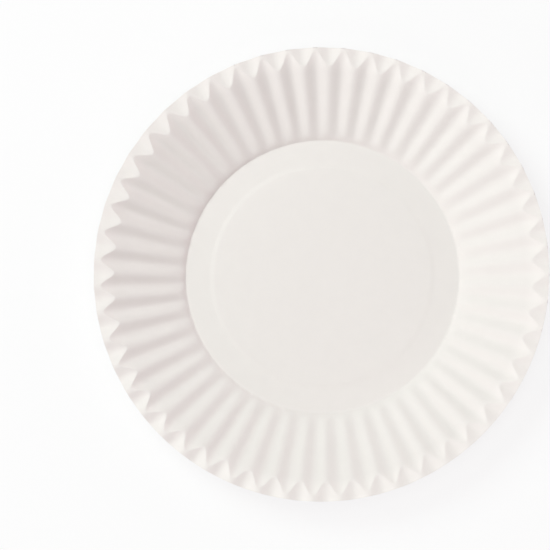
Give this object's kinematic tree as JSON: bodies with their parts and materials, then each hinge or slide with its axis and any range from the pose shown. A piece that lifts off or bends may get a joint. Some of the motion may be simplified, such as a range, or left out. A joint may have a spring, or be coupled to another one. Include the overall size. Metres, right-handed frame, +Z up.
{
  "type": "paper plate",
  "caption": "Round paper plate with a flat, slightly raised floor, a radially fluted sloping wall and a pleated lip, pressed from one sheet of plain white paper.",
  "frame": {"origin": "centre of the underside, on the surface that the plate stands on", "axes": "+Z up, out of the plate's upper side, along its axis; +X runs out along a flute's valley"},
  "size_m": [0.2286, 0.2286, 0.0205],
  "materials": {
    "paper": "uncoated, matt"
  },
  "bodies": {
    "root": {"plate": "paper"}
  },
  "joints": []
}
